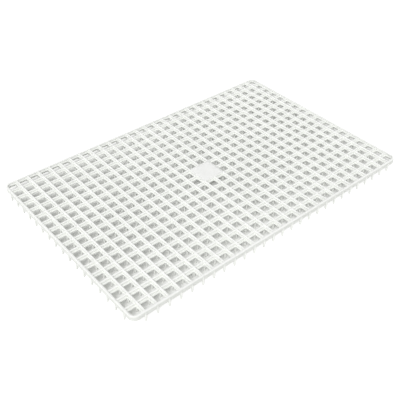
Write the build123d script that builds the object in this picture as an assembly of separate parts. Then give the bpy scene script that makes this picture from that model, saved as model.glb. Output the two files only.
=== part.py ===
from build123d import *
import os

# Plug tray: a flat moulded lattice of square plug cells inside a shallow rim,
# standing on a field of tapered pins.
# Frame: X along the length, Y across, Z up. The origin is at the middle of the
# tray on the plane of the pin tips. Front is -Y, left is -X. Sizes are in mm.

# Cell layout
cell_pitch = 20.0
cells_long = 28
cells_short = 18
plate_cells = 2

# Heights
overall_height = 20.0
lattice_depth = 4.8
rim_height = 9.0
bar_depth = 1.8
long_ridge_drop = 0.25
plate_thickness = 2.0

# Widths
rim_thickness = 3.2
cross_ridge_width = 2.8
long_ridge_width = 2.2
cross_bar_width = 6.8
long_bar_width = 8.0
rim_ledge_width = 2.0
ridge_draft = 0.2
edge_break = 0.35
corner_radius = 11.0

# Pins
pin_tip_radius = 1.4
pin_tip_break = 0.3
pin_root_radius = 2.0
rim_pin_inset = 1.0
pilaster_lip = 0.15
pilaster_stop = 1.0

# Levels and faces that follow from the sizes above
bar_bottom = overall_height - lattice_depth
bar_top = bar_bottom + bar_depth
bar_middle = bar_bottom + bar_depth / 2
long_ridge_top = overall_height - long_ridge_drop
rim_bottom = overall_height - rim_height
outer_x = (cells_long * cell_pitch + rim_thickness) / 2
outer_y = (cells_short * cell_pitch + rim_thickness) / 2
inner_x = outer_x - rim_thickness
inner_y = outer_y - rim_thickness
corner_x = outer_x - corner_radius
corner_y = outer_y - corner_radius
plate_columns = (cells_long // 2 - plate_cells // 2, cells_long // 2 + plate_cells // 2)
plate_rows = (cells_short // 2 - plate_cells // 2, cells_short // 2 + plate_cells // 2)


def column_x(column):
    """X of a cross rib; 0 is the left rim and cells_long is the right rim."""
    return (column - cells_long / 2) * cell_pitch


def row_y(row):
    """Y of a long rib; 0 is the front rim and cells_short is the back rim."""
    return (row - cells_short / 2) * cell_pitch


def along_x(start):
    """Plane whose normal is +X, with Y to the right and Z up."""
    return Plane(origin=(start, 0, 0), x_dir=(0, 1, 0), z_dir=(1, 0, 0))


def along_y(start):
    """Plane whose normal is +Y, with -X to the right and Z up."""
    return Plane(origin=(0, start, 0), x_dir=(-1, 0, 0), z_dir=(0, 1, 0))


def rib_section(bar_width, ridge_width, ridge_top, bar_from):
    """Flat bar with a narrow upright ridge along the middle of its top."""
    bar = bar_width / 2
    ridge = ridge_width / 2
    outline = Polyline(
        (-bar, bar_from),
        (bar, bar_from),
        (bar, bar_top - edge_break),
        (bar - edge_break, bar_top),
        (ridge + ridge_draft, bar_top),
        (ridge, ridge_top),
        (-ridge, ridge_top),
        (-ridge - ridge_draft, bar_top),
        (edge_break - bar, bar_top),
        (-bar, bar_top - edge_break),
        close=True,
    )
    return make_face(outline)


def cross_rib():
    """Rib from front to back, between the rim walls; it passes over the long ribs.

    Its underside is halved at each long rib.
    """
    section = rib_section(cross_bar_width, cross_ridge_width, overall_height, bar_bottom)
    rib = extrude(along_y(-inner_y) * section, amount=2 * inner_y)
    notch = Box(cross_bar_width, long_bar_width, bar_middle - bar_bottom)
    level = (bar_bottom + bar_middle) / 2
    for row in range(1, cells_short):
        rib -= Pos(0, row_y(row), level) * notch
    return rib


def long_rib():
    """Rib from left to right, between the rim walls; it is notched to carry the cross ribs."""
    section = rib_section(long_bar_width, long_ridge_width, long_ridge_top, bar_bottom)
    rib = extrude(along_x(-inner_x) * section, amount=2 * inner_x)
    seat = rib_section(cross_bar_width, cross_ridge_width, overall_height, bar_middle)
    cutter = extrude(along_y(-long_bar_width) * seat, amount=2 * long_bar_width)
    for column in range(1, cells_long):
        rib -= Pos(column_x(column), 0, 0) * cutter
    return rib


def centre_plate():
    """Panel that closes the middle cells, let in between the ribs round it.

    The ribs that would cross it run on beneath it.
    """
    left, right = (column_x(column) for column in plate_columns)
    front, back = (row_y(row) for row in plate_rows)
    length = right - left - cross_ridge_width
    width = back - front - long_ridge_width
    level = overall_height - plate_thickness / 2
    plate = Box(length, width, plate_thickness)
    plate = Pos((left + right) / 2, (front + back) / 2, level) * plate
    side_rib = cross_rib()
    end_rib = long_rib()
    for x in (left, right):
        plate -= Pos(x, 0, 0) * side_rib
    for y in (front, back):
        plate -= Pos(0, y, 0) * end_rib
    return plate


def rim_section(with_ledge):
    """Rim wall; the first coordinate runs inwards from the outer face."""
    wall = [
        (edge_break, overall_height),
        (rim_thickness - edge_break, overall_height),
        (rim_thickness, overall_height - edge_break),
    ]
    ledge = [
        (rim_thickness, bar_top),
        (rim_thickness + rim_ledge_width, bar_top),
        (rim_thickness + rim_ledge_width, bar_bottom),
        (rim_thickness, bar_bottom),
    ]
    base = [
        (rim_thickness, rim_bottom),
        (0, rim_bottom),
        (0, overall_height - edge_break),
    ]
    points = wall + ledge + base if with_ledge else wall + base
    return make_face(Polyline(*points, close=True))


def rim_wall(half_length, stations, bar_width):
    """Straight wall along X with its outer face at Y = 0 and the inside at +Y.

    A ledge runs along the inner face, level with the bars of the ribs and broken
    where a rib of the given bar width comes in at each of the stations.
    """
    wall = extrude(along_x(-half_length) * rim_section(False), amount=2 * half_length)
    ends = [-half_length] + [x + bar_width / 2 for x in stations]
    stops = [x - bar_width / 2 for x in stations] + [half_length]
    depth = rim_thickness + rim_ledge_width / 2
    level = (bar_bottom + bar_top) / 2
    for start, stop in zip(ends, stops):
        ledge = Box(stop - start, rim_ledge_width, bar_depth)
        wall += Pos((start + stop) / 2, depth, level) * ledge
    return wall


def rim_corner():
    """Quarter turn of the rim about the origin, from +X round to +Y."""
    turn = Plane(origin=(corner_radius, 0, 0), x_dir=(-1, 0, 0), z_dir=(0, 1, 0))
    return revolve(turn * rim_section(True), Axis.Z, revolution_arc=90)


def lattice_pin():
    """Tapered pin under a crossing of the ribs."""
    outline = Polyline(
        (0, 0),
        (pin_tip_radius - pin_tip_break, 0),
        (pin_tip_radius, pin_tip_break),
        (pin_root_radius, bar_bottom),
        (0, bar_bottom),
        close=True,
    )
    return revolve(Plane.XZ * make_face(outline), Axis.Z)


def rim_pin():
    """Pin under the rim wall, whose outer face is at Y = 0 and inside at +Y.

    It goes on up the outer face as a half-round pilaster that dies away
    below the top edge.
    """
    pilaster_top = overall_height - pilaster_stop
    outline = Polyline(
        (0, 0),
        (pin_tip_radius - pin_tip_break, 0),
        (pin_tip_radius, pin_tip_break),
        (pin_root_radius, rim_bottom),
        (rim_pin_inset + pilaster_lip, pilaster_top),
        (0, pilaster_top),
        close=True,
    )
    pin = Pos(0, rim_pin_inset, 0) * revolve(Plane.XZ * make_face(outline), Axis.Z)
    reach = 2 * pin_root_radius
    wall = Box(reach, reach, rim_height, align=(Align.CENTER, Align.MIN, Align.MIN))
    return pin - Pos(0, 0, rim_bottom) * wall


def carries_pin(column, row):
    """Every crossing carries a pin, except those at or beside the plate's middle."""
    steps = abs(column - cells_long // 2) + abs(row - cells_short // 2)
    return steps >= plate_cells


def save(name, shape):
    export_step(shape, f"parts/{name}.step")


def save_cross_ribs(plate):
    whole = cross_rib()
    for column in range(1, cells_long):
        rib = Pos(column_x(column), 0, 0) * whole
        if plate_columns[0] < column < plate_columns[1]:
            rib -= plate
        save(f"cross_rib_{column:02d}", rib)


def save_long_ribs(plate):
    whole = long_rib()
    for row in range(1, cells_short):
        rib = Pos(0, row_y(row), 0) * whole
        if plate_rows[0] < row < plate_rows[1]:
            rib -= plate
        save(f"long_rib_{row:02d}", rib)


def save_rim():
    columns = [column_x(column) for column in range(1, cells_long)]
    rows = [row_y(row) for row in range(1, cells_short)]
    long_wall = rim_wall(corner_x, columns, cross_bar_width)
    side_wall = rim_wall(corner_y, rows, long_bar_width)
    corner = rim_corner()
    save("front_rim", Pos(0, -outer_y, 0) * long_wall)
    save("back_rim", Pos(0, outer_y, 0) * Rot(0, 0, 180) * long_wall)
    save("left_rim", Pos(-outer_x, 0, 0) * Rot(0, 0, -90) * side_wall)
    save("right_rim", Pos(outer_x, 0, 0) * Rot(0, 0, 90) * side_wall)
    save("rim_corner_back_right", Pos(corner_x, corner_y, 0) * corner)
    save("rim_corner_back_left", Pos(-corner_x, corner_y, 0) * Rot(0, 0, 90) * corner)
    save("rim_corner_front_left", Pos(-corner_x, -corner_y, 0) * Rot(0, 0, 180) * corner)
    save("rim_corner_front_right", Pos(corner_x, -corner_y, 0) * Rot(0, 0, 270) * corner)


def save_pins():
    columns = range(1, cells_long)
    rows = range(1, cells_short)
    front = rim_pin()
    back = Rot(0, 0, 180) * front
    left = Rot(0, 0, -90) * front
    right = Rot(0, 0, 90) * front
    inner = lattice_pin()
    crossings = [(c, r) for c in columns for r in rows if carries_pin(c, r)]
    save("front_rim_pins", Compound([Pos(column_x(c), -outer_y, 0) * front for c in columns]))
    save("back_rim_pins", Compound([Pos(column_x(c), outer_y, 0) * back for c in columns]))
    save("left_rim_pins", Compound([Pos(-outer_x, row_y(r), 0) * left for r in rows]))
    save("right_rim_pins", Compound([Pos(outer_x, row_y(r), 0) * right for r in rows]))
    save("lattice_pins", Compound([Pos(column_x(c), row_y(r), 0) * inner for c, r in crossings]))


os.makedirs("parts", exist_ok=True)
plate = centre_plate()
save("centre_plate", plate)
save_cross_ribs(plate)
save_long_ribs(plate)
save_rim()
save_pins()
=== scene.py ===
import math

import bmesh
import bpy
from mathutils import Matrix, Vector


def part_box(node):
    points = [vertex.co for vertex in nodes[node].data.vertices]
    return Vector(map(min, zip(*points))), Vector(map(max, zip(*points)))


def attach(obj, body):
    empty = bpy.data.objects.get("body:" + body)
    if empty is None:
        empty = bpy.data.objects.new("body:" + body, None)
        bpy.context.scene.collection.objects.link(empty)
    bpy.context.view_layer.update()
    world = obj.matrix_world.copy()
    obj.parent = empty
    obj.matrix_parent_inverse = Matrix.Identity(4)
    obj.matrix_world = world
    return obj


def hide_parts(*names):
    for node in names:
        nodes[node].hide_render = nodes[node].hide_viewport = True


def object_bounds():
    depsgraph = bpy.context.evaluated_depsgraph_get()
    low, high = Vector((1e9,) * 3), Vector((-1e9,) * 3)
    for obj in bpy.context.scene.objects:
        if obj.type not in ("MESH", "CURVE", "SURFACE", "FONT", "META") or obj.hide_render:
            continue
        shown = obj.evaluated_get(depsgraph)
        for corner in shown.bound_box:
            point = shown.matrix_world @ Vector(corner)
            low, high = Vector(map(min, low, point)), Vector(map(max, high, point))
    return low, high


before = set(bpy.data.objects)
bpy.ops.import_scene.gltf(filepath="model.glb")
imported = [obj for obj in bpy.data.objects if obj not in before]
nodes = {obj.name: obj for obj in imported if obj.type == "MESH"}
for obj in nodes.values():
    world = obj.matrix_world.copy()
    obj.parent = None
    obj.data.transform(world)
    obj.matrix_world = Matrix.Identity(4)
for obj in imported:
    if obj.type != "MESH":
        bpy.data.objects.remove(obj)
cad_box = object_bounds()

# Plug tray: a moulded lattice of square plug cells in a shallow rim, on tapered
# pins. X runs along the length, Y across and Z up, all in metres.

MM = 0.001

# Sizes taken from the frame
cross_names = sorted(name for name in nodes if name.startswith("cross_rib_"))
long_names = sorted(name for name in nodes if name.startswith("long_rib_"))
first_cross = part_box(cross_names[0])
first_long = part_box(long_names[0])
front_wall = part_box("front_rim")
rim_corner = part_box("rim_corner_front_left")
plate_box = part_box("centre_plate")

columns = len(cross_names) + 1
rows = len(long_names) + 1
pitch = (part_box(cross_names[-1])[0][0] - first_cross[0][0]) / (columns - 2)
half_pitch = pitch / 2
cross_bar = first_cross[1][0] - first_cross[0][0]
long_bar = first_long[1][1] - first_long[0][1]
floor_level = cad_box[0][2]
bar_bottom = first_cross[0][2]
tray_top = first_cross[1][2]
long_top = first_long[1][2]
rim_bottom = front_wall[0][2]
outer_x = -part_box("left_rim")[0][0]
outer_y = -front_wall[0][1]
inner_x = -first_long[0][0]
inner_y = -first_cross[0][1]
rim_thickness = outer_x - inner_x
corner_radius = rim_corner[1][0] - rim_corner[0][0]
corner_x = outer_x - corner_radius
corner_y = outer_y - corner_radius
plate_bottom = plate_box[0][2]
plate_edge_x = plate_box[1][0]
plate_edge_y = plate_box[1][1]

# Ribs
bar_depth = 1.8 * MM
cross_ridge = 2.8 * MM
long_ridge = 2.2 * MM
ridge_draft = 0.2 * MM
ridge_chamfer = 0.3 * MM
edge_radius = 0.35 * MM
cell_corner = 1.3 * MM

# Rim and pins
rim_ledge = 2.0 * MM
rim_corner_steps = 12
pin_tip = 1.45 * MM
pin_tip_flat = 0.6 * pin_tip
pin_tip_turn = 0.93 * pin_tip
pin_turn_height = 0.2 * MM
pin_full_height = 0.6 * MM
pin_root = 2.0 * MM
pin_root_swell = 1.06 * pin_root
pin_root_flare = 1.25 * pin_root
pin_fillet = 1.0 * MM
rim_pin_inset = 1.0 * MM
pilaster_foot = 0.6 * MM
pilaster_lip = 0.15 * MM
pilaster_stop = 1.2 * MM

# Panel over the middle cells
panel_sink = 0.08 * MM
panel_groove = 0.25 * MM
gate_radius = 2.2 * MM
gate_depth = 0.12 * MM
gate_nub = 0.02 * MM

# Steps along X plus along Y from the tray's middle that stay clear of copies
clear_reach = 1.5 * pitch

# Gaps that keep two faces from lying on each other, and points that are one point
slack = 0.1 * MM
wall_bite = 0.6 * MM
same_point = 0.001 * MM

# Turns between two faces: one marks a ridge's crest, the other is shaded as a crisp line
crest_turn = math.radians(50)
smooth_turn = math.radians(35)

# Faces that follow from the sizes above
bar_top = bar_bottom + bar_depth
ridge_height = tray_top - bar_top
ridge_x = half_pitch - cross_ridge / 2
ridge_y = half_pitch - long_ridge / 2
meet_x = ridge_x - ridge_draft * (tray_top - long_top) / ridge_height
hole_x = (pitch - cross_bar) / 2
hole_y = (pitch - long_bar) / 2
split_x = hole_x - cell_corner
split_y = hole_y - cell_corner

# Signs of X and Y at each corner of a rectangle, from the back right one round
QUARTERS = ((1, 1), (-1, 1), (-1, -1), (1, -1))

# Part of a noise that is stretched out into soft patches
SOFT_PATCHES = (0.3, 0.7)

# Heights between which each band of painted shade, and the wear on the tops, fades in or out
PAINTED_SHADE_BELOW_TOPS_FADE = (tray_top - 0.4 * MM, tray_top - 0.05 * MM)
RIDGES_FADE = (bar_top + 0.2 * MM, bar_top + 1.4 * MM)
PINS_FADE = (bar_bottom - 1.2 * MM, bar_bottom - 0.2 * MM)
PAINTED_SHADE_AT_TIPS_FADE = (1 * MM, 7 * MM)
WEAR_FADE = (tray_top - 0.9 * MM, tray_top - 0.2 * MM)

# Tints, each of which darkens the resin beneath it: flow lines and specks are the resin's own, the
# others are painted shade below the tops, over the bars and towards the pin tips
FLOW_TINT = (0.955, 0.96, 0.95, 1)
PAINTED_SHADE_BELOW_TOPS = (0.93, 0.936, 0.924, 1)
PAINTED_SHADE_OVER_BARS = (0.915, 0.92, 0.908, 1)
PAINTED_SHADE_AT_TIPS = (0.76, 0.76, 0.73, 1)
SPECK_TINT = (0.8, 0.79, 0.75, 1)

# How far the roughness varies from place to place, and what wear adds to it
ROUGHNESS_SWING = 0.07
WORN_ROUGHNESS = 0.16


# Meshes

def mesh_object(name, bm):
    """Object at the origin that holds the mesh."""
    mesh = bpy.data.meshes.new(name)
    bm.to_mesh(mesh)
    bm.free()
    piece = bpy.data.objects.new(name, mesh)
    bpy.context.scene.collection.objects.link(piece)
    return piece


def arc(across, up, radius, start, end, steps):
    """Points on a circle, from start to end in degrees."""
    angles = [math.radians(start + (end - start) * k / steps) for k in range(steps + 1)]
    return [(across + radius * math.cos(a), up + radius * math.sin(a)) for a in angles]


def rounded_cell(half_x, half_y, radius, z, steps=2):
    """Points round a rectangle with rounded corners, from its +X side towards +Y."""
    points = []
    for quarter, (sx, sy) in enumerate(QUARTERS):
        start = 90 * quarter
        turn = arc(sx * (half_x - radius), sy * (half_y - radius), radius, start, start + 90, steps)
        points += [(x, y, z) for x, y in turn]
    return points


def cell_border(half_x, half_y, z):
    """Twelve points on a rectangle that match the points of a rounded cell."""
    return [
        (half_x, split_y, z), (half_x, half_y, z), (split_x, half_y, z),
        (-split_x, half_y, z), (-half_x, half_y, z), (-half_x, split_y, z),
        (-half_x, -split_y, z), (-half_x, -half_y, z), (-split_x, -half_y, z),
        (split_x, -half_y, z), (half_x, -half_y, z), (half_x, -split_y, z),
    ]


def ring(bm, points):
    """New vertices at the points, in order."""
    return [bm.verts.new(p) for p in points]


def band(bm, low, high):
    """Closed strip of faces between two rings of the same length."""
    count = len(low)
    for k in range(count):
        n = (k + 1) % count
        bm.faces.new((low[k], low[n], high[n], high[k]))


def close_ends(bm, rings):
    """Strips between the rings, a face over each end, and all normals outwards."""
    for low, high in zip(rings, rings[1:]):
        band(bm, low, high)
    bm.faces.new(rings[0][::-1])
    bm.faces.new(rings[-1])
    bmesh.ops.recalc_face_normals(bm, faces=bm.faces)


def cell_rings(bm, top):
    """Underside and wall of one cell; returns the ring where its top edge starts."""
    border = ring(bm, cell_border(half_pitch, half_pitch, bar_bottom))
    foot = ring(bm, rounded_cell(hole_x, hole_y, cell_corner, bar_bottom))
    lip = ring(bm, rounded_cell(hole_x, hole_y, cell_corner, top - edge_radius))
    band(bm, border, foot)
    band(bm, foot, lip)
    return lip


def cross_ridge_half(bm, foot, side):
    """Half of a cross rib's ridge, along the +X or -X side of the cell."""
    ends = []
    for way in (1, -1):
        spots = ((meet_x, ridge_y, long_top), (ridge_x, ridge_y, tray_top),
                 (meet_x, half_pitch, long_top), (ridge_x, half_pitch, tray_top),
                 (half_pitch, half_pitch, tray_top))
        ends.append([bm.verts.new((side * x, way * y, z)) for x, y, z in spots])
    back, front = ends
    picks = (0, 1, 10, 11) if side == 1 else (5, 4, 7, 6)
    back_split, back_foot, front_foot, front_split = (foot[k] for k in picks)
    slope = [front_split, back_split, back_foot, back[0], back[1], front[1], front[0], front_foot]
    crest = [back[1], back[3], back[4], front[4], front[3], front[1]]
    crossings = [[end[0], end[2], end[3], end[1]] for end in ends]
    for face in (slope, crest, *crossings):
        bm.faces.new(face)


def long_ridge_half(bm, foot, side):
    """Half of a long rib's ridge, along the +Y or -Y side of the cell."""
    low = [foot[k] for k in ((1, 2, 3, 4) if side == 1 else (10, 9, 8, 7))]
    stops = (meet_x, split_x, -split_x, -meet_x)
    crest = [bm.verts.new((x, side * ridge_y, long_top)) for x in stops]
    middle = [bm.verts.new((x, side * half_pitch, long_top)) for x in stops]
    for lower, upper in ((low, crest), (crest, middle)):
        for k in range(len(stops) - 1):
            bm.faces.new((lower[k], lower[k + 1], upper[k + 1], upper[k]))


def is_crest(edge):
    """True for an edge along the top of a ridge, where its side turns over."""
    high = all(v.co.z > long_top - edge_radius for v in edge.verts)
    return high and len(edge.link_faces) == 2 and edge.calc_face_angle() > crest_turn


def lattice_cell():
    """One cell with half of each rib round it, and the ridges along its sides."""
    bm = bmesh.new()
    lip = cell_rings(bm, bar_top)
    edge = ring(bm, rounded_cell(hole_x + edge_radius, hole_y + edge_radius,
                                 cell_corner + edge_radius, bar_top))
    foot = ring(bm, cell_border(ridge_x - ridge_draft, ridge_y - ridge_draft, bar_top))
    band(bm, lip, edge)
    band(bm, edge, foot)
    for side in (1, -1):
        cross_ridge_half(bm, foot, side)
    for side in (1, -1):
        long_ridge_half(bm, foot, side)
    bmesh.ops.remove_doubles(bm, verts=bm.verts, dist=same_point)
    bmesh.ops.recalc_face_normals(bm, faces=bm.faces)
    crest_edges = [e for e in bm.edges if is_crest(e)]
    bmesh.ops.bevel(bm, geom=crest_edges, offset=ridge_chamfer, segments=1, affect="EDGES")
    return mesh_object("lattice", bm)


def plate_pocket():
    """Cell under the plate: ribs beneath it and a closed ceiling."""
    bm = bmesh.new()
    lip = cell_rings(bm, plate_bottom + edge_radius)
    ceiling = bm.faces.new(lip)
    bmesh.ops.recalc_face_normals(bm, faces=bm.faces)
    if ceiling.normal.z > 0:
        bmesh.ops.reverse_faces(bm, faces=bm.faces)
    return mesh_object("plate_pockets", bm)


def rim_section():
    """Closed outline of the rim wall and its ledge; the first number runs inwards."""
    r = edge_radius
    crown = 2 * edge_radius
    face = rim_thickness
    ledge = face + rim_ledge - slack
    ledge_top = bar_top - slack
    ledge_bottom = bar_bottom + slack
    points = arc(crown, tray_top - crown, crown, 180, 90, 4)
    points += arc(face - r, tray_top - r, r, 90, 0, 3)
    points += arc(face + r, ledge_top + r, r, 180, 270, 2)
    points += arc(ledge - r, ledge_top - r, r, 90, 0, 2)
    points += [(ledge, ledge_bottom), (face + r, ledge_bottom)]
    points += arc(face + r, ledge_bottom - r, r, 90, 180, 2)[1:]
    points += arc(face - r, rim_bottom + r, r, 0, -90, 2)
    points += arc(r, rim_bottom + r, r, -90, -180, 2)
    return points


def rim_ring():
    """Closed rim swept round the rounded rectangle."""
    bm = bmesh.new()
    section = rim_section()
    rings = []
    for quarter, (sx, sy) in enumerate(QUARTERS):
        for k in range(rim_corner_steps + 1):
            angle = math.radians(90 * quarter + 90 * k / rim_corner_steps)
            points = []
            for inset, z in section:
                reach = corner_radius - inset
                points.append((sx * corner_x + math.cos(angle) * reach,
                               sy * corner_y + math.sin(angle) * reach, z))
            rings.append(ring(bm, points))
    for k, points in enumerate(rings):
        band(bm, points, rings[(k + 1) % len(rings)])
    bmesh.ops.recalc_face_normals(bm, faces=bm.faces)
    return mesh_object("rim", bm)


def turned(profile, y, sides):
    """Rows of points round an upright axis at X = 0, one row for each (radius, z)."""
    angles = [2 * math.pi * (k + 0.5) / sides for k in range(sides)]
    for radius, z in profile:
        yield [(radius * math.cos(a), y + radius * math.sin(a), z) for a in angles]


def lathe(bm, profile, y, sides):
    """Turned shape from (radius, z) points, closed at both ends."""
    close_ends(bm, [ring(bm, points) for points in turned(profile, y, sides)])


def pin_shaft(root_z):
    """Tapered shaft with a rounded tip, up to the fillet under its root."""
    return [
        (pin_tip_flat, 0.0),
        (pin_tip_turn, pin_turn_height),
        (pin_tip, pin_full_height),
        (pin_root, root_z - pin_fillet),
        (pin_root_swell, root_z - pin_fillet / 3),
    ]


def one_lattice_pin():
    """Pin below a crossing, flaring out into the bars."""
    bm = bmesh.new()
    profile = pin_shaft(bar_bottom) + [(pin_root_flare, bar_bottom)]
    lathe(bm, profile, y=0, sides=8)
    return mesh_object("lattice_pins", bm)


def one_rim_pin():
    """Pin below the wall, going on up its outer face as a half-round pilaster."""
    bm = bmesh.new()
    pilaster = [(pin_root, rim_bottom + pilaster_foot),
                (rim_pin_inset + pilaster_lip, tray_top - pilaster_stop)]
    lathe(bm, pin_shaft(rim_bottom) + pilaster, y=rim_pin_inset, sides=10)
    return mesh_object("rim_pins", bm)


def plate_panel():
    """Closed panel over the middle cells, with a fine groove round it and a gate mark."""
    bm = bmesh.new()
    face = tray_top - panel_sink
    tight = 0.1 * MM
    levels = [(pitch, pitch, plate_bottom, tight), (pitch, pitch, long_top, tight)]
    for steps_in, z, radius in ((-1, long_top, tight), (0, face - 2 * panel_groove, 0.4 * MM),
                                (1, face - panel_groove / 4, 0.8 * MM), (2, face, 1.0 * MM),
                                (9, face, 1.6 * MM)):
        inset = steps_in * panel_groove
        levels.append((plate_edge_x - inset, plate_edge_y - inset, z, radius))
    rings = [ring(bm, rounded_cell(half_x, half_y, radius, z, steps=4))
             for half_x, half_y, z, radius in levels]
    gate = [(gate_radius * share, face - sink) for share, sink in (
        (1.5, 0), (1.0, gate_depth), (0.85, gate_depth), (0.3, gate_nub))]
    rings += [ring(bm, points) for points in turned(gate, y=0, sides=len(rings[0]))]
    close_ends(bm, rings)
    return mesh_object("centre_plate", bm)


# Node trees that set out the copies

def new_tree(name, inputs):
    """Geometry tree with a mesh in and out, and a named input for each size."""
    tree = bpy.data.node_groups.new(name, "GeometryNodeTree")
    tree.interface.new_socket("Copy", in_out="INPUT", socket_type="NodeSocketGeometry")
    for label, kind in inputs:
        tree.interface.new_socket(label, in_out="INPUT", socket_type=kind)
    tree.interface.new_socket("Geometry", in_out="OUTPUT", socket_type="NodeSocketGeometry")
    return tree


def add_node(tree, kind, **settings):
    """New node of a kind, with its settings."""
    node = tree.nodes.new(kind)
    for name, value in settings.items():
        setattr(node, name, value)
    return node


def link(tree, output, socket):
    tree.links.new(output, socket)


def combine(tree, x, y=None):
    """Vector from an X output and, where it is given, a Y output."""
    node = add_node(tree, "ShaderNodeCombineXYZ")
    link(tree, x, node.inputs["X"])
    if y is not None:
        link(tree, y, node.inputs["Y"])
    return node.outputs[0]


def split_up(tree, vector):
    """X, Y and Z of a vector output, by name."""
    node = add_node(tree, "ShaderNodeSeparateXYZ")
    link(tree, vector, node.inputs[0])
    return node.outputs


def maths(tree, operation, first, second):
    """One sum on two values; each may be an output or a plain number."""
    node = add_node(tree, "ShaderNodeMath", operation=operation)
    for k, value in enumerate((first, second)):
        if isinstance(value, (int, float)):
            node.inputs[k].default_value = value
        else:
            link(tree, value, node.inputs[k])
    return node.outputs[0]


def finish_tree(tree, start, geometry):
    """Realizes the copies, closes the seams between them and gives them their plastic."""
    realize = add_node(tree, "GeometryNodeRealizeInstances")
    weld = add_node(tree, "GeometryNodeMergeByDistance")
    weld.inputs["Distance"].default_value = same_point
    paint = add_node(tree, "GeometryNodeSetMaterial")
    end = add_node(tree, "NodeGroupOutput")
    link(tree, geometry, realize.inputs[0])
    link(tree, realize.outputs[0], weld.inputs[0])
    link(tree, weld.outputs[0], paint.inputs["Geometry"])
    link(tree, start.outputs["Plastic"], paint.inputs["Material"])
    link(tree, paint.outputs[0], end.inputs["Geometry"])


def field_tree():
    """Copies on a square field of points, left out round its middle."""
    inputs = [("Along", "NodeSocketInt"), ("Across", "NodeSocketInt"), ("Pitch", "NodeSocketFloat"),
              ("Clear Reach", "NodeSocketFloat"), ("Plastic", "NodeSocketMaterial")]
    tree = new_tree("field_of_copies", inputs)
    start = add_node(tree, "NodeGroupInput")
    grid = add_node(tree, "GeometryNodeMeshGrid")
    for count, axis in (("Along", "X"), ("Across", "Y")):
        gaps = maths(tree, "SUBTRACT", start.outputs[count], 1.0)
        length = maths(tree, "MULTIPLY", gaps, start.outputs["Pitch"])
        link(tree, length, grid.inputs["Size " + axis])
        link(tree, start.outputs[count], grid.inputs["Vertices " + axis])
    place = split_up(tree, add_node(tree, "GeometryNodeInputPosition").outputs[0])
    along = maths(tree, "ABSOLUTE", place["X"], 0)
    across = maths(tree, "ABSOLUTE", place["Y"], 0)
    steps = maths(tree, "ADD", along, across)
    kept = maths(tree, "GREATER_THAN", steps, start.outputs["Clear Reach"])
    copies = add_node(tree, "GeometryNodeInstanceOnPoints")
    link(tree, grid.outputs["Mesh"], copies.inputs["Points"])
    link(tree, kept, copies.inputs["Selection"])
    link(tree, start.outputs["Copy"], copies.inputs["Instance"])
    finish_tree(tree, start, copies.outputs[0])
    return tree


def border_tree():
    """Copies in a row along each side of a rectangle, each facing outwards."""
    inputs = [("Along", "NodeSocketInt"), ("Across", "NodeSocketInt"), ("Pitch", "NodeSocketFloat"),
              ("Half Length", "NodeSocketFloat"), ("Half Width", "NodeSocketFloat"),
              ("Plastic", "NodeSocketMaterial")]
    tree = new_tree("copies_round_border", inputs)
    start = add_node(tree, "NodeGroupInput")
    join = add_node(tree, "GeometryNodeJoinGeometry")
    sides = (("Along", "Half Width"), ("Across", "Half Length"),
             ("Along", "Half Width"), ("Across", "Half Length"))
    for quarter, (count, reach) in enumerate(sides):
        line = add_node(tree, "GeometryNodeMeshLine")
        gaps = maths(tree, "SUBTRACT", start.outputs[count], 1.0)
        first = maths(tree, "MULTIPLY", maths(tree, "MULTIPLY", gaps, start.outputs["Pitch"]), -0.5)
        outwards = maths(tree, "MULTIPLY", start.outputs[reach], -1.0)
        link(tree, start.outputs[count], line.inputs["Count"])
        link(tree, combine(tree, first, outwards), line.inputs["Start Location"])
        link(tree, combine(tree, start.outputs["Pitch"]), line.inputs["Offset"])
        copies = add_node(tree, "GeometryNodeInstanceOnPoints")
        turn = add_node(tree, "GeometryNodeTransform")
        turn.inputs["Rotation"].default_value = (0, 0, math.radians(90 * quarter))
        link(tree, line.outputs[0], copies.inputs["Points"])
        link(tree, start.outputs["Copy"], copies.inputs["Instance"])
        link(tree, copies.outputs[0], turn.inputs["Geometry"])
        link(tree, turn.outputs[0], join.inputs[0])
    finish_tree(tree, start, join.outputs[0])
    return tree


def set_out(piece, tree, **values):
    """Runs the tree on the piece and keeps the result as its plain mesh."""
    modifier = piece.modifiers.new(tree.name, "NODES")
    modifier.node_group = tree
    for item in tree.interface.items_tree:
        label = item.name.replace(" ", "_")
        if item.in_out == "INPUT" and label in values:
            modifier[item.identifier] = values[label]
    bpy.context.view_layer.update()
    depsgraph = bpy.context.evaluated_depsgraph_get()
    mesh = bpy.data.meshes.new_from_object(piece.evaluated_get(depsgraph), depsgraph=depsgraph)
    piece.modifiers.remove(modifier)
    piece.data = mesh
    mesh.name = piece.name
    return piece


def reach_rim(value, cells, half_hole, inner_face):
    """Coordinate moved outwards, so that the outermost half bar ends up as the rim's ledge."""
    size = abs(value)
    edge_of_field = cells * half_pitch
    hole_edge = edge_of_field - half_pitch + half_hole
    if size > edge_of_field - slack:
        size = inner_face + wall_bite
    elif size > hole_edge + 1.5 * edge_radius:
        size = inner_face + slack
    elif size > hole_edge - cell_corner - slack:
        size += inner_face - rim_ledge - hole_edge
    return math.copysign(size, value)


def tuck_under_rim(piece):
    """Draws the lattice's outermost edge inside the rim wall, and under its top."""
    centre = Vector((corner_x, corner_y))
    limit = corner_radius - rim_thickness / 2
    bm = bmesh.new()
    bm.from_mesh(piece.data)
    for v in bm.verts:
        v.co.x = reach_rim(v.co.x, columns, hole_x, inner_x)
        v.co.y = reach_rim(v.co.y, rows, hole_y, inner_y)
        if abs(v.co.x) > inner_x + 2 * slack or abs(v.co.y) > inner_y + 2 * slack:
            v.co.z = min(v.co.z, tray_top - edge_radius)
        off = Vector((abs(v.co.x), abs(v.co.y))) - centre
        if off.x > 0 and off.y > 0 and off.length > limit:
            off *= limit / off.length
            v.co.x = math.copysign(centre.x + off.x, v.co.x)
            v.co.y = math.copysign(centre.y + off.y, v.co.y)
    bmesh.ops.remove_doubles(bm, verts=bm.verts, dist=same_point)
    bm.to_mesh(piece.data)
    bm.free()


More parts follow.
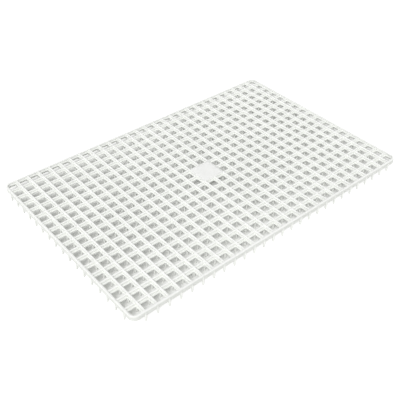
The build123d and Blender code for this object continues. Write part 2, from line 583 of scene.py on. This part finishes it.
def smooth_over(piece):
    """Smooth shading, with a crisp line wherever a face turns sharply."""
    for polygon in piece.data.polygons:
        polygon.use_smooth = True
    piece.data.set_sharp_from_angle(angle=smooth_turn)


# Materials

def noise(tree, place, scale, detail, roughness=0.5):
    """Cloudy value between 0 and 1."""
    node = add_node(tree, "ShaderNodeTexNoise")
    node.inputs["Scale"].default_value = scale
    node.inputs["Detail"].default_value = detail
    node.inputs["Roughness"].default_value = roughness
    link(tree, place, node.inputs["Vector"])
    return node.outputs["Fac"]


def spread(tree, value, between, onto=(0, 1)):
    """Stretches a value between two limits onto a new range."""
    node = add_node(tree, "ShaderNodeMapRange", interpolation_type="SMOOTHSTEP")
    limits = zip(("From Min", "From Max", "To Min", "To Max"), (*between, *onto))
    for label, number in limits:
        node.inputs[label].default_value = number
    link(tree, value, node.inputs["Value"])
    return node.outputs["Result"]


def blend(tree, mode, amount, first, second):
    """Mixes two colours; each may be an output or a plain colour."""
    node = add_node(tree, "ShaderNodeMix", data_type="RGBA", blend_type=mode)
    for k, value in ((0, amount), (6, first), (7, second)):
        if isinstance(value, bpy.types.NodeSocket):
            link(tree, value, node.inputs[k])
        else:
            node.inputs[k].default_value = value
    return node.outputs[2]


def stretched(tree, place, scale):
    """Place scaled along each axis, so that a pattern on it is drawn out."""
    node = add_node(tree, "ShaderNodeMapping")
    node.inputs["Scale"].default_value = scale
    link(tree, place, node.inputs["Vector"])
    return node.outputs[0]


def new_material(name):
    """Material, with its tree and its shader."""
    material = bpy.data.materials.new(name)
    material.use_nodes = True
    return material, material.node_tree, material.node_tree.nodes["Principled BSDF"]


def place_on_object(tree):
    return add_node(tree, "ShaderNodeTexCoord").outputs["Object"]


def resin_colour_with_painted_shade(tree, place, height, colour, cloud):
    """Cloudy resin with flow lines and specks, plus painted shade: darker below the tops, darker
    again over the bars, and darker in patches towards the pin tips.
    """
    clouds = spread(tree, noise(tree, place, scale=14, detail=3), SOFT_PATCHES)
    tone = blend(tree, "MIX", clouds, (*colour, 1), (*cloud, 1))
    flow_place = stretched(tree, place, (9, 60, 60))
    flow = noise(tree, flow_place, scale=6, detail=4, roughness=0.6)
    flow = spread(tree, flow, (0.45, 0.75), onto=(0, 0.35))
    # Painted shade: all that lies below the tops is darkened
    sides = spread(tree, height, PAINTED_SHADE_BELOW_TOPS_FADE, onto=(1, 0))
    # Painted shade: the bars and cell walls are darkened again, fading out up the ridges and down
    # the pins
    below_ridges = spread(tree, height, RIDGES_FADE, onto=(1, 0))
    bars = maths(tree, "MULTIPLY", below_ridges, spread(tree, height, PINS_FADE))
    # Painted shade: darker towards the pin tips, broken up in patches
    near_tips = spread(tree, height, PAINTED_SHADE_AT_TIPS_FADE, onto=(1, 0))
    patches = noise(tree, place, scale=420, detail=4, roughness=0.7)
    patches = spread(tree, patches, (0.35, 0.65), onto=(0.25, 1))
    painted_tip_shade = maths(tree, "MULTIPLY", maths(tree, "MULTIPLY", near_tips, patches), 0.6)
    specks = spread(tree, noise(tree, place, scale=900, detail=2), (0.7, 0.78), onto=(0, 0.2))
    for amount, tint in ((flow, FLOW_TINT), (sides, PAINTED_SHADE_BELOW_TOPS), (bars, PAINTED_SHADE_OVER_BARS),
                         (painted_tip_shade, PAINTED_SHADE_AT_TIPS), (specks, SPECK_TINT)):
        tone = blend(tree, "MULTIPLY", amount, tone, tint)
    return tone


def worn_tops(tree, place, height):
    """How scuffed a spot is: fine scratches that fade out below the tops."""
    scuffs = noise(tree, stretched(tree, place, (1, 0.25, 1)), scale=700, detail=5, roughness=0.75)
    near_top = spread(tree, height, WEAR_FADE)
    return maths(tree, "MULTIPLY", spread(tree, scuffs, (0.5, 0.68)), near_top)


def moulded_grain(tree, place, worn, grain):
    """Normal with spark-eroded grain and slow sink marks, rubbed down where it is worn."""
    fine = noise(tree, place, scale=2600, detail=3, roughness=0.6)
    sink = noise(tree, place, scale=60, detail=2)
    fine = maths(tree, "MULTIPLY", fine, grain)
    sink = maths(tree, "MULTIPLY", sink, 0.5)
    relief = maths(tree, "ADD", fine, sink)
    relief = maths(tree, "SUBTRACT", relief, maths(tree, "MULTIPLY", worn, 0.1))
    bump = add_node(tree, "ShaderNodeBump")
    bump.inputs["Strength"].default_value = 0.25
    bump.inputs["Distance"].default_value = 0.15 * MM
    link(tree, relief, bump.inputs["Height"])
    return bump.outputs[0]


def white_plastic(name, colour, cloud, grain, roughness):
    """Moulded polypropylene, more or less shiny from place to place and rougher where it is worn."""
    material, tree, shader = new_material(name)
    place = place_on_object(tree)
    height = split_up(tree, place)["Z"]
    link(tree, resin_colour_with_painted_shade(tree, place, height, colour, cloud), shader.inputs["Base Color"])
    worn = worn_tops(tree, place, height)
    swing = (roughness - ROUGHNESS_SWING, roughness + ROUGHNESS_SWING)
    finish = spread(tree, noise(tree, place, scale=55, detail=3), SOFT_PATCHES, onto=swing)
    finish = maths(tree, "ADD", finish, maths(tree, "MULTIPLY", worn, WORN_ROUGHNESS))
    link(tree, finish, shader.inputs["Roughness"])
    link(tree, moulded_grain(tree, place, worn, grain), shader.inputs["Normal"])
    shader.inputs["IOR"].default_value = 1.49
    shader.inputs["Specular IOR Level"].default_value = 0.4
    shader.inputs["Subsurface Weight"].default_value = 0.5
    shader.inputs["Subsurface Radius"].default_value = (1.0, 1.0, 1.0)
    shader.inputs["Subsurface Scale"].default_value = 3.0 * MM
    shader.inputs["Sheen Weight"].default_value = 0.04
    return material


def floor_material():
    """Pale sweep with a painted glow round the tray, seen by the camera alone; beneath the tray it
    falls into its own shade.
    """
    material, tree, shader = new_material("studio_floor")
    place = split_up(tree, place_on_object(tree))
    shader.inputs["Base Color"].default_value = (0.75, 0.757, 0.736, 1)
    shader.inputs["Roughness"].default_value = 0.7
    shader.inputs["Specular IOR Level"].default_value = 0.1
    shader.inputs["Emission Color"].default_value = (1, 1, 1, 1)
    # Painted glow: emission for camera rays only, reaching 8 mm under the tray's left edge and 12 mm
    # under its front, and starting 12 mm beyond its right and back
    glow_strength = 0.6
    near_fade, far_fade = 2 * MM, 11 * MM
    under_left, under_front, beyond = 8 * MM, 12 * MM, 12 * MM
    edges = (("X", under_left - outer_x, -1, near_fade), ("X", outer_x + beyond, 1, far_fade),
             ("Y", under_front - outer_y, -1, near_fade), ("Y", outer_y + beyond, 1, far_fade))
    painted_glow_mask = None
    for axis, edge, outwards, fade in edges:
        distance = maths(tree, "MULTIPLY", maths(tree, "SUBTRACT", place[axis], edge), outwards)
        past = spread(tree, distance, (-fade, fade))
        painted_glow_mask = past if painted_glow_mask is None else maths(tree, "MAXIMUM", painted_glow_mask, past)
    seen = add_node(tree, "ShaderNodeLightPath").outputs["Is Camera Ray"]
    glow = maths(tree, "MULTIPLY", maths(tree, "MULTIPLY", painted_glow_mask, seen), glow_strength)
    link(tree, glow, shader.inputs["Emission Strength"])
    return material


# Studio

def studio():
    """Pale floor with a painted glow round the tray, an even dome of light and one broad soft lamp
    from the front left.
    """
    scene = bpy.context.scene
    bpy.ops.mesh.primitive_plane_add(size=12, location=(0, 0, floor_level))
    floor = bpy.context.object
    floor.name = "studio_floor"
    floor.data.materials.append(floor_material())
    world = bpy.data.worlds.new("studio_world")
    world.use_nodes = True
    dome = world.node_tree.nodes["Background"]
    dome.inputs["Color"].default_value = (1, 1, 1, 1)
    dome.inputs["Strength"].default_value = 0.45
    scene.world = world
    lamp = bpy.data.lights.new("key", "SUN")
    lamp.energy = 3.05
    lamp.angle = math.radians(32)
    key = bpy.data.objects.new("key", lamp)
    key.rotation_mode = "QUATERNION"
    towards_lamp = Vector((-0.5, -0.32, 0.718))
    key.rotation_quaternion = towards_lamp.to_track_quat("Z", "Y")
    scene.collection.objects.link(key)
    scene.view_settings.view_transform = "Standard"
    scene.view_settings.gamma = 1.4


def camera():
    """Looks down at the tray from beyond its front left corner."""
    aim = Vector((-0.0543, -0.0477, 0.015))
    azimuth = math.radians(-40.5)
    elevation = math.radians(39.905)
    distance = 1.0007
    roll = math.radians(0.677)
    forward = Vector((-math.sin(azimuth) * math.cos(elevation),
                      math.cos(azimuth) * math.cos(elevation),
                      -math.sin(elevation)))
    data = bpy.data.cameras.new("camera")
    data.sensor_width = 36
    data.lens = 56
    view = bpy.data.objects.new("camera", data)
    turn = forward.to_track_quat("-Z", "Y").to_matrix().to_4x4()
    tilt = Matrix.Rotation(-roll, 4, forward)
    view.matrix_world = Matrix.Translation(aim - forward * distance) @ tilt @ turn
    bpy.context.scene.collection.objects.link(view)
    bpy.context.scene.camera = view


satin = white_plastic("satin_white", colour=(0.83, 0.838, 0.815), cloud=(0.805, 0.815, 0.79),
                      grain=0.6, roughness=0.42)
# Same white resin with a darker colour: painted shade on the rim
shaded_rim_plastic = white_plastic("handled_rim", colour=(0.755, 0.763, 0.742), cloud=(0.73, 0.738, 0.716),
                        grain=0.6, roughness=0.46)
# Same white resin, matt and more grained, with a darker colour: painted shade on the panel
matt_and_shaded = white_plastic("matt_panel", colour=(0.73, 0.737, 0.718), cloud=(0.705, 0.713, 0.695),
                     grain=1.0, roughness=0.55)

field = field_tree()
side_rows = border_tree()
lattice = set_out(lattice_cell(), field, Along=columns, Across=rows, Pitch=pitch,
                  Clear_Reach=clear_reach, Plastic=satin)
tuck_under_rim(lattice)
pockets = set_out(plate_pocket(), field, Along=2, Across=2, Pitch=pitch,
                  Clear_Reach=0.0, Plastic=satin)
inner_pins = set_out(one_lattice_pin(), field, Along=columns - 1, Across=rows - 1, Pitch=pitch,
                     Clear_Reach=clear_reach, Plastic=satin)
outer_pins = set_out(one_rim_pin(), side_rows, Along=columns - 1, Across=rows - 1, Pitch=pitch,
                     Half_Length=outer_x, Half_Width=outer_y, Plastic=satin)
rim = rim_ring()
rim.data.materials.append(shaded_rim_plastic)
panel = plate_panel()
panel.data.materials.append(matt_and_shaded)

rim_names = [name for name in nodes if "rim" in name and not name.endswith("pins")]
rim_pin_names = [name for name in nodes if name.endswith("rim_pins")]
pieces = ((lattice, cross_names + long_names), (pockets, []), (inner_pins, ["lattice_pins"]),
          (outer_pins, rim_pin_names), (rim, rim_names), (panel, ["centre_plate"]))
for piece, replaced in pieces:
    smooth_over(piece)
    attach(piece, "root")
    if replaced:
        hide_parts(*replaced)

studio()
camera()
